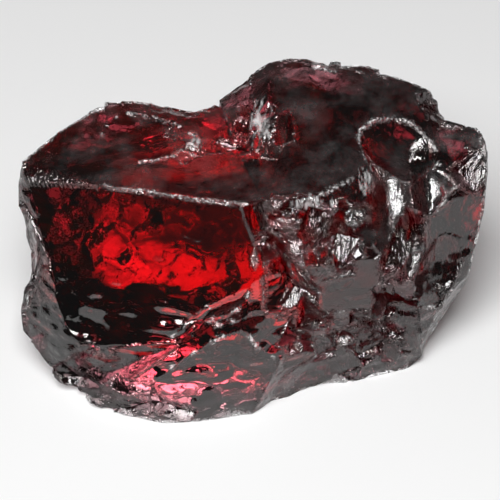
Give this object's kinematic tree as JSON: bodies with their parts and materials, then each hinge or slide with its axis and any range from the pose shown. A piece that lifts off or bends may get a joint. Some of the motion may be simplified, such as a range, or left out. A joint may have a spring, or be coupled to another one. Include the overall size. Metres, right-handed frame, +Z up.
{
  "type": "painite crystal",
  "caption": "Rough lump of deep red, glassy painite, broken into shell-shaped scars, steps and sharp ridges, resting on a flat parting face",
  "frame": {"origin": "middle of the footprint, on the flat parting face that the lump rests on", "axes": "+X along the lump's length to its right end, -Y to the front with the large glowing face, +Z up"},
  "size_m": [0.036, 0.0228, 0.0197],
  "materials": {
    "painite": "glassy fracture, frosted along the sharp ridges"
  },
  "bodies": {
    "root": {"crystal": "painite"}
  },
  "joints": []
}
